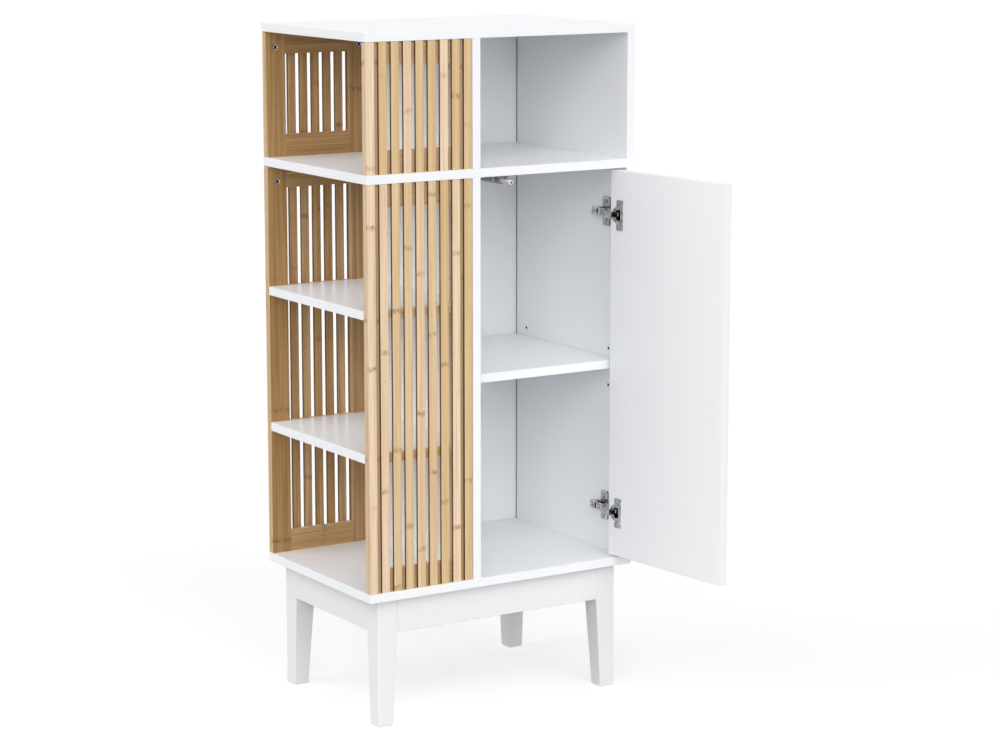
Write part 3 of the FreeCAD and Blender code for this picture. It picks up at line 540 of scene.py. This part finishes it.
def paint_seam_shade(bm):
    # painted shade: a thin dark line where a back goes into the groove of the side panel, as the corner
    # lies in shade
    painted_shade = bm.faces.layers.float.new("painted_shade")
    bm.normal_update()
    line = SIDE_FACE - SEAM_WIDE
    cut(bm, [f for f in bm.faces if f.normal.y < -NEARLY], (line, 0, 0), (1, 0, 0))
    for face in bm.faces:
        if face.normal.y < -NEARLY and face.calc_center_median().x > line:
            face[painted_shade] = SEAM_SHADE


def paint_hole_shade(bm):
    # painted shade: the drilled holes for the shelf pins are painted dark inside, where they lie in shade
    painted_shade = bm.faces.layers.float.new("painted_shade")
    room = Vector((HOLE_CLEAR, HOLE_INSET, HOLE_INSET))
    low = Vector([min(v.co[i] for v in bm.verts) + room[i] for i in range(3)])
    high = Vector([max(v.co[i] for v in bm.verts) - room[i] for i in range(3)])
    for face in bm.faces:
        middle = face.calc_center_median()
        if face.calc_area() < HOLE_FACE and all(low[i] < middle[i] < high[i] for i in range(3)):
            face[painted_shade] = 1.0


def build_boards():
    for node in BOARDS:
        bm = soften(solid_of(node), BOARD_EASE)
        if node in DRILLED:
            paint_hole_shade(bm)
        piece(bm, node)
    for node in BACKS:
        bm = soften(solid_of(node), BACK_EASE)
        paint_seam_shade(bm)
        piece(bm, node)


# Base: legs and aprons with rounded arrises

LEG_EASE = (1.6 * MM, 20 * MM, 3)
APRON_EASE = (1.0 * MM, 14 * MM, 3)
LEGS = ("leg_front_left", "leg_front_right", "leg_back_left", "leg_back_right")
APRONS = ("apron_front", "apron_back", "apron_left", "apron_right")


def build_base():
    for nodes, ease in ((LEGS, LEG_EASE), (APRONS, APRON_EASE)):
        for node in nodes:
            piece(soften(solid_of(node), ease), node)


# Bamboo panels: slats with rounded arrises, on stiles and rails

SLATS = 9
SLAT_WIDE = 15.5 * MM
SLAT_EDGE = 0.8 * MM
SLAT_EASE = (SLAT_EDGE, 1 * MM, 3)
SLAT_PALEST = -1.0
FRAME_EASE = (0.6 * MM, 9 * MM, 2)
FRAME_PALEST = -0.2
FRAME_GAP = 1.3 * MM
END_TONE = 0.18
# share of painted shade on a frame's face under the slats
SEAT_PAINTED_SHADE = 0.42
# the way to the bay, along Y, from the panels on each side of it
INWARD = {"front": 1, "back": -1}


def lower_top(bm):
    # the frames stop short of the board above, so that a dark gap shows over them
    top = max(v.co.z for v in bm.verts)
    for v in bm.verts:
        if v.co.z > top - WELD:
            v.co.z -= FRAME_GAP
    return bm


def tone_and_shade_frame(bm, inward):
    # the ends of a frame are darker, and its face under the slats gets painted shade, as it lies in shade
    # behind the gaps
    sides = bm.faces.layers.float.new("side")
    bm.normal_update()
    for face in bm.faces:
        if abs(face.normal.x) > MOSTLY:
            face[sides] = END_TONE
        elif face.normal.y * inward < -MOSTLY:
            face[sides] = SEAT_PAINTED_SHADE


def shade_slat_sides(bm, low, high):
    # the sides between the slats get painted shade, and the two at the ends of the row only the end tone
    sides = bm.faces.layers.float.new("side")
    for face in bm.faces:
        if abs(face.normal.x) > ROUGHLY:
            at = face.calc_center_median().x
            outer = min(at - low.x, high.x - at) < SLAT_EDGE
            face[sides] = END_TONE if outer else 1.0


def paint_bay_shade(bm, inward):
    # marks the faces turned to the bay, which get painted shade
    inner = bm.faces.layers.float.new("inner")
    bm.normal_update()
    for face in bm.faces:
        if face.normal.y * inward > MOSTLY:
            face[inner] = 1.0


def build_slats(node, inward):
    low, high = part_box(node)
    step = (high.x - low.x - SLAT_WIDE) / (SLATS - 1)
    bm = bmesh.new()
    for i in range(SLATS):
        left = low.x + i * step
        block(bm, (left, low.y, low.z), (left + SLAT_WIDE, high.y, high.z))
    soften(bm, SLAT_EASE)
    shade_slat_sides(bm, low, high)
    paint_bay_shade(bm, inward)
    lay_grain(bm, node, "z", SLAT_PALEST)
    piece(bm, node)


def build_frame(node, inward, along):
    bm = soften(lower_top(solid_of(node)), FRAME_EASE)
    tone_and_shade_frame(bm, inward)
    paint_bay_shade(bm, inward)
    lay_grain(bm, node, along, FRAME_PALEST)
    piece(bm, node)


def build_bamboo():
    for side, inward in INWARD.items():
        for level in ("upper", "lower"):
            stem = "%s_%s_" % (side, level)
            build_slats(stem + "slats", inward)
            build_frame(stem + "stiles", inward, "z")
            build_frame(stem + "rails", inward, "x")


# Turned pieces: rings of (radius, height) around an axis, from the far end to the face

# a ring has as many points as the outline of a cross
RING = 32
TAPER = 0.8
TOWARD_BIAS = 0.01
HEAD_SHARE = 0.95


def around(count):
    return [2 * math.pi * i / count for i in range(count)]


def circle(radius):
    return [Vector((radius * math.cos(a), radius * math.sin(a), 0)) for a in around(RING)]


def plus_sign(long, half):
    # outline of a cross, with a point between each pair of corners
    corners = []
    for turn in range(4):
        for x, y in ((long, 0), (long, half), (half, half), (half, long)):
            for _ in range(turn):
                x, y = -y, x
            corners.append(Vector((x, y, 0)))
    outline = []
    for i, corner in enumerate(corners):
        outline += [corner, (corner + corners[(i + 1) % len(corners)]) / 2]
    return outline


def fresh():
    bm = bmesh.new()
    # this layer marks faces in hollows, slots and gaps, which get painted shade
    bm.faces.layers.float.new("recess_shade")
    return bm


def lay(bm, place, outline, height):
    return [bm.verts.new(place @ (p + Vector((0, 0, height)))) for p in outline]


def skin(bm, first, second):
    count = len(first)
    return [bm.faces.new((first[i], first[(i + 1) % count], second[(i + 1) % count], second[i]))
            for i in range(count)]


def turned(bm, rings, place, dark=()):
    # the rings named in dark close a band that lies in shade, such as the gap around a screw head
    recess_shade = bm.faces.layers.float["recess_shade"]
    last = None
    for index, (radius, height) in enumerate(rings):
        ring = lay(bm, place, circle(radius), height)
        if last is None:
            bm.faces.new(ring[::-1])
        else:
            for face in skin(bm, last, ring):
                face[recess_shade] = 1.0 if index in dark else 0.0
        last = ring
    return last


def hollow(bm, rim, place, outline, height, deep):
    # closes a turned piece with a sunk recess of this outline, with painted shade inside
    recess_shade = bm.faces.layers.float["recess_shade"]
    top = lay(bm, place, outline, height)
    floor = lay(bm, place, [p * TAPER for p in outline], height - deep)
    skin(bm, rim, top)
    for face in skin(bm, top, floor) + [bm.faces.new(floor)]:
        face[recess_shade] = 1.0


def on_axis(centre, way):
    return Matrix.Translation(centre) @ way.to_track_quat("Z", "Y").to_matrix().to_4x4()


def rods_of(node, flip=False, toward=(0, 0, 0)):
    # for each rod or screw in a node: place of its face, face radius, length, head height, shank radius
    bm = solid_of(node)
    found = []
    for group in islands(bm):
        faces = dict.fromkeys(f for v in group for f in v.link_faces)
        face = max(faces, key=lambda f: f.calc_area() * (1 + TOWARD_BIAS * f.normal.dot(Vector(toward))))
        way = face.normal.copy()
        centre = sum((v.co for v in face.verts), Vector()) / len(face.verts)
        radius = max((v.co - centre).length for v in face.verts)
        depths = [((centre - v.co).dot(way), v) for v in group]
        length = max(d for d, _ in depths)
        aside = [(d, (v.co - centre + way * d).length) for d, v in depths]
        head = max(d for d, r in aside if r > HEAD_SHARE * radius)
        shank = max(r for d, r in aside if d > length - NEAR)
        if flip:
            centre, way = centre - way * length, -way
        found.append((on_axis(centre, way), radius, length, head, shank))
    bm.free()
    return found


# Screws, cam locks, shelf pins and latch

SCREWS = ("plate_screws", "arm_screws", "cup_screws", "latch_screws", "bracket_screws")
# shares of a screw's shank, head height or head radius
POINT_WIDE = 0.4
STEP_DEEP = 0.8
STEP_WIDE = 0.72
DOME_DEEP = 0.3
DOME_WIDE = 0.62
SCREW_CROSS = 0.5
SCREW_CROSS_HALF = 0.15
SCREW_CROSS_DEEP = 0.7
# rings of a screw that get painted shade: the sunk step around its head
SCREW_DARK = (4, 5)
CAM_LIP = 0.5 * MM
CAM_GAP = 0.7 * MM
CAM_GAP_DEEP = 2 * CAM_LIP
CAM_SLOPE = 1.6 * CAM_LIP
CAM_CROSS = 4.3 * MM
CAM_CROSS_HALF = 1.1 * MM
CAM_CROSS_DEEP = 2.2 * MM
CAM_TURN = math.radians(45)
# rings of a cam lock that get painted shade: the sunk gap around its face
CAM_DARK = (2, 3, 4)
PINS = ("shelf_pins", "latch_plunger")
PIN_CHAMFER = 0.6 * MM
TIP_CHAMFER = 0.4 * MM
TIP_BORE = 0.5
TIP_BORE_DEEP = 0.4
FRONT = (0, -1, 0)


def screw_rings(radius, length, head, shank):
    # point, shank, underside of the head, sunk step around it, and the dome
    step = -STEP_DEEP * head
    wide = STEP_WIDE * radius
    return [(POINT_WIDE * shank, -length), (shank, shank - length), (shank, -head), (radius, -head),
            (radius, step), (wide, step), (wide, -DOME_DEEP * head), (DOME_WIDE * radius, 0)]


def cam_rings(radius, length):
    # buried end, wall, sunk gap around the face, and the lip that the face lies in
    face = radius - CAM_GAP
    return [(radius - CAM_LIP, -length), (radius, CAM_LIP - length), (radius, -CAM_GAP_DEEP),
            (face, -CAM_GAP_DEEP), (face, 0), (face - CAM_LIP, 0), (face - CAM_SLOPE, -CAM_LIP)]


def rod_rings(radius, length, chamfer):
    narrow = radius - chamfer
    return [(narrow, -length), (radius, chamfer - length), (radius, -chamfer), (narrow, 0)]


def build_screws():
    for node in SCREWS:
        bm = fresh()
        for place, radius, length, head, shank in rods_of(node):
            rim = turned(bm, screw_rings(radius, length, head, shank), place, SCREW_DARK)
            cross = plus_sign(SCREW_CROSS * radius, SCREW_CROSS_HALF * radius)
            hollow(bm, rim, place, cross, 0, SCREW_CROSS_DEEP * head)
        piece(bm, node)


def build_cams():
    bm = fresh()
    for place, radius, length, _, _ in rods_of("cam_locks", flip=True):
        place = place @ Matrix.Rotation(CAM_TURN, 4, "Z")
        rim = turned(bm, cam_rings(radius, length), place, CAM_DARK)
        hollow(bm, rim, place, plus_sign(CAM_CROSS, CAM_CROSS_HALF), -CAM_LIP, CAM_CROSS_DEEP)
    piece(bm, "cam_locks")


def build_pins():
    for node in PINS:
        bm = fresh()
        for place, radius, length, _, _ in rods_of(node):
            bm.faces.new(turned(bm, rod_rings(radius, length, PIN_CHAMFER), place))
        piece(bm, node)


def build_tip():
    bm = fresh()
    for place, radius, length, _, _ in rods_of("latch_tip", toward=FRONT):
        rim = turned(bm, rod_rings(radius, length, TIP_CHAMFER), place)
        hollow(bm, rim, place, circle(TIP_BORE * radius), 0, TIP_BORE_DEEP * length)
    piece(bm, "latch_tip")


# Hinges: the solids with eased edges, rounded wings, slots, and painted shade in the hollow of each cup

# the hinge pins' axis, and the turn from the closed door to the stored one
AXIS = Vector((SWING["pos_m"][0], SWING["pos_m"][1], 0))
DOOR_OPEN = -math.radians(SWING["range_deg"][0])
HARD_EASE = (0.35 * MM, 3 * MM, 2)
EASED_HARDWARE = ("latch_body", "base_brackets")
ROUND_STEPS = 5
WING_ROUND = 4 * MM
WING_THICK = 2.5 * MM
FLANGE_ROUND = 2 * MM
FLANGE_THICK = 1.2 * MM
# share of painted shade on a hinge plate's edges
PLATE_EDGE_SHADE = 0.93
# the cup's middle and faces, from the axis of the closed door
CUP_SIDE = -9.1 * MM
CUP_FACE = 9.2 * MM
CUP_HOLLOW = 12.4 * MM
CUP_INNER = 12.2 * MM
COVER_THICK = 0.9 * MM
COVER_DROP = 0.3 * MM
COVER_POINTS = 96
COVER_REACH = 0.97 * CUP_INNER
# openings around the arm: from and to across the door, and half the height
COVER_HOLES = ((-16.5 * MM, -6 * MM, 9 * MM), (-9.2 * MM, 2.4 * MM, 4 * MM))
# the arm's faces and pockets, from the axis
ARM_FACE = -3 * MM
ARM_HALF = 6.5 * MM
ARM_SLOT = (56 * MM, 60 * MM)
ARM_SLOT_HALF = 4.5 * MM
ARM_SIDE = (37 * MM, 62 * MM)
ARM_SIDE_WALL = (1.5 * MM, 9 * MM)
SLOT_DEEP = 2 * MM


def middle_of(node):
    low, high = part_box(node)
    return (low.z + high.z) / 2


def round_corners(bm, way, thick, radius):
    # rounds the corners of a thin plate that run through its thickness
    chosen = []
    for e in bm.edges:
        run = e.verts[1].co - e.verts[0].co
        through = abs(run.normalized().dot(way)) > NEARLY and abs(run.length - thick) < SAME
        if through and is_corner(e):
            chosen.append(e)
    rounded(bm, chosen, radius, ROUND_STEPS)
    return bm


def pocket(bm, way, low, high, deep):
    # sinks the part of a flat face that lies between two corners, and paints shade on the sunk faces
    recess_shade = bm.faces.layers.float["recess_shade"]
    way = Vector(way)
    out = max(range(3), key=lambda i: abs(way[i]))
    across = [i for i in range(3) if i != out]

    def flat():
        return [f for f in bm.faces if f.normal.dot(way) > EXACTLY
                and low[out] <= f.calc_center_median()[out] <= high[out]]

    bmesh.ops.triangulate(bm, faces=flat())
    for i in across:
        for bound in (low[i], high[i]):
            at, normal = Vector((0, 0, 0)), Vector((0, 0, 0))
            at[i], normal[i] = bound, 1
            cut(bm, flat(), at, normal)
    chosen = [f for f in flat() if all(low[i] < f.calc_center_median()[i] < high[i] for i in across)]
    grown = bmesh.ops.extrude_face_region(bm, geom=chosen)["geom"]
    verts = [item for item in grown if isinstance(item, bmesh.types.BMVert)]
    bmesh.ops.delete(bm, geom=[f for f in chosen if f.is_valid], context="FACES_ONLY")
    bmesh.ops.translate(bm, verts=verts, vec=-way * deep)
    for v in verts:
        for face in v.link_faces:
            face[recess_shade] = 1.0


def reach(angle):
    # how far the opening in a cover goes from the cup's middle, in this direction
    x, z = math.cos(angle), math.sin(angle)
    best = 0.0
    for left, right, half in COVER_HOLES:
        side = (right if x > 0 else left) - CUP_SIDE
        to_side = side / x if x else math.inf
        to_end = half / abs(z) if z else math.inf
        best = max(best, min(to_side, to_end))
    return min(best, COVER_REACH)


def cover_cup(bm, turn, middle):
    # a thin plate in the mouth of the cup, open around the arm, with painted shade on its underside and
    # round its opening
    recess_shade = bm.faces.layers.float["recess_shade"]
    angles = around(COVER_POINTS)
    rim = [CUP_INNER for _ in angles]
    hole = [reach(a) for a in angles]
    top = CUP_FACE - COVER_DROP

    def loop(radii, y):
        spots = [(CUP_SIDE + r * math.cos(a), y, middle + r * math.sin(a)) for r, a in zip(radii, angles)]
        return [bm.verts.new(turn @ Vector(spot) + AXIS) for spot in spots]

    outer = loop(rim, top)
    inner = loop(hole, top)
    under = loop(hole, top - COVER_THICK)
    below = loop(rim, top - COVER_THICK)
    skin(bm, inner, outer)
    for face in skin(bm, under, inner) + skin(bm, below, under):
        face[recess_shade] = 1.0
    skin(bm, outer, below)


def build_cup(node):
    middle = middle_of(node)
    turn = Matrix.Rotation(DOOR_OPEN, 3, "Z")
    bm = round_corners(solid_of(node), turn @ Vector((0, 1, 0)), FLANGE_THICK, FLANGE_ROUND)
    soften(bm, HARD_EASE)
    recess_shade = bm.faces.layers.float.new("recess_shade")
    # painted shade on the faces inside the cup's hollow
    for face in bm.faces:
        at = turn.transposed() @ (face.calc_center_median() - AXIS)
        if math.hypot(at.x - CUP_SIDE, at.z - middle) < CUP_HOLLOW and at.y < CUP_FACE - NEAR:
            face[recess_shade] = 1.0
    cover_cup(bm, turn, middle)
    piece(bm, node)


def build_arm(node):
    # one slot in the arm's face, and a hollow in each of its two sides, all with painted shade
    middle = middle_of(node)
    bm = soften(solid_of(node), HARD_EASE)
    bm.faces.layers.float.new("recess_shade")
    at = AXIS + Vector((ARM_FACE, 0, middle))
    low = (at.x - NEAR, at.y + ARM_SLOT[0], middle - ARM_SLOT_HALF)
    high = (at.x + NEAR, at.y + ARM_SLOT[1], middle + ARM_SLOT_HALF)
    pocket(bm, (-1, 0, 0), low, high, SLOT_DEEP)
    for way in (1, -1):
        z = middle + way * ARM_HALF
        low = (at.x + ARM_SIDE_WALL[0], at.y + ARM_SIDE[0], z - NEAR)
        high = (at.x + ARM_SIDE_WALL[1], at.y + ARM_SIDE[1], z + NEAR)
        pocket(bm, (0, 0, way), low, high, SLOT_DEEP)
    piece(bm, node)


def build_plate(node):
    # a stamped plate, with painted shade all around its edge that stands in for the dark the edge reflects
    bm = round_corners(solid_of(node), Vector((1, 0, 0)), WING_THICK, WING_ROUND)
    soften(bm, HARD_EASE)
    recess_shade = bm.faces.layers.float.new("recess_shade")
    bm.normal_update()
    for face in bm.faces:
        if abs(face.normal.x) < EDGE_ON:
            face[recess_shade] = PLATE_EDGE_SHADE
    piece(bm, node)


def build_hardware():
    for node in EASED_HARDWARE:
        piece(soften(solid_of(node), HARD_EASE), node)
    for level in ("upper", "lower"):
        build_cup("hinge_cup_" + level)
        build_arm("hinge_arm_" + level)
        build_plate("hinge_plate_" + level)
    build_screws()
    build_cams()
    build_pins()
    build_tip()


def dress_rest():
    # solids that keep their own shape get the finish of their slot
    for node, obj in frame["nodes"].items():
        obj.material_slots[0].material = LOOKS[slot_of(node)]


# Floor, light and backdrop

FLOOR_HALF = 60.0
FLOOR_DROP = 0.3 * MM
FLOOR_GREY = (0.4, 0.4, 0.4, 1)
FLOOR_LIFT = 0.68
AMBIENT = 0.14
# lamp: strength, spread, height above the floor and turn to the left, the last three in degrees
LAMPS = {
    "key": (0.76, 30, 47, 0),
    "low": (0.76, 40, 10, 0),
    "front_left": (0.97, 30, 20, 40),
    "front_left_high": (0.37, 40, 48, 40),
    "left_low": (0.36, 40, 10, 100),
    "left": (0.7, 50, 30, 105),
    "left_high": (0.5, 50, 55, 100),
    "right_low": (0.34, 40, 8, -45),
    "back": (1.6, 20, 2, -175),
    "back_right": (1.6, 20, 2, -112),
}


def seen_directly(tree):
    # 1 for what the camera sees, also in a mirror or through glass, and 0 for the light on other things
    path = tree.nodes.new("ShaderNodeLightPath")
    first = calc(tree, "MAXIMUM", path.outputs["Is Camera Ray"], path.outputs["Is Glossy Ray"])
    return calc(tree, "MAXIMUM", first, path.outputs["Is Transmission Ray"])


def set_floor():
    mesh = bpy.data.meshes.new("floor")
    sides = ((-1, -1), (1, -1), (1, 1), (-1, 1))
    corners = [(x * FLOOR_HALF, y * FLOOR_HALF, -FLOOR_DROP) for x, y in sides]
    mesh.from_pydata(corners, [], [(0, 1, 2, 3)])
    material = bpy.data.materials.new("floor")
    tree = empty_tree(material)
    matt = put(tree, "BsdfDiffuse", {"Color": FLOOR_GREY})
    lift = put(tree, "Emission", {"Strength": times(tree, seen_directly(tree), FLOOR_LIFT)})
    show(tree, "Material", put(tree, "AddShader", {0: matt, 1: lift}))
    mesh.materials.append(material)
    floor = add("floor", mesh)


def set_world():
    world = bpy.data.worlds.new("studio")
    bpy.context.scene.world = world
    tree = empty_tree(world)
    strength = put(tree, "MapRange", {"Value": seen_directly(tree), "To Min": AMBIENT, "To Max": 1.0})
    show(tree, "World", put(tree, "Background", {"Color": WHITE, "Strength": strength}))


def set_lights():
    for name, (strength, wide, high, left) in LAMPS.items():
        data = bpy.data.lights.new(name, "SUN")
        data.energy = strength
        data.angle = math.radians(wide)
        lamp = add(name, data)
        lamp.rotation_euler = (math.pi / 2 - math.radians(high), 0, -math.radians(left))


set_camera()
set_floor()
set_world()
set_lights()
build_boards()
build_base()
build_bamboo()
build_hardware()
dress_rest()

bpy.context.scene.view_settings.view_transform = "Standard"
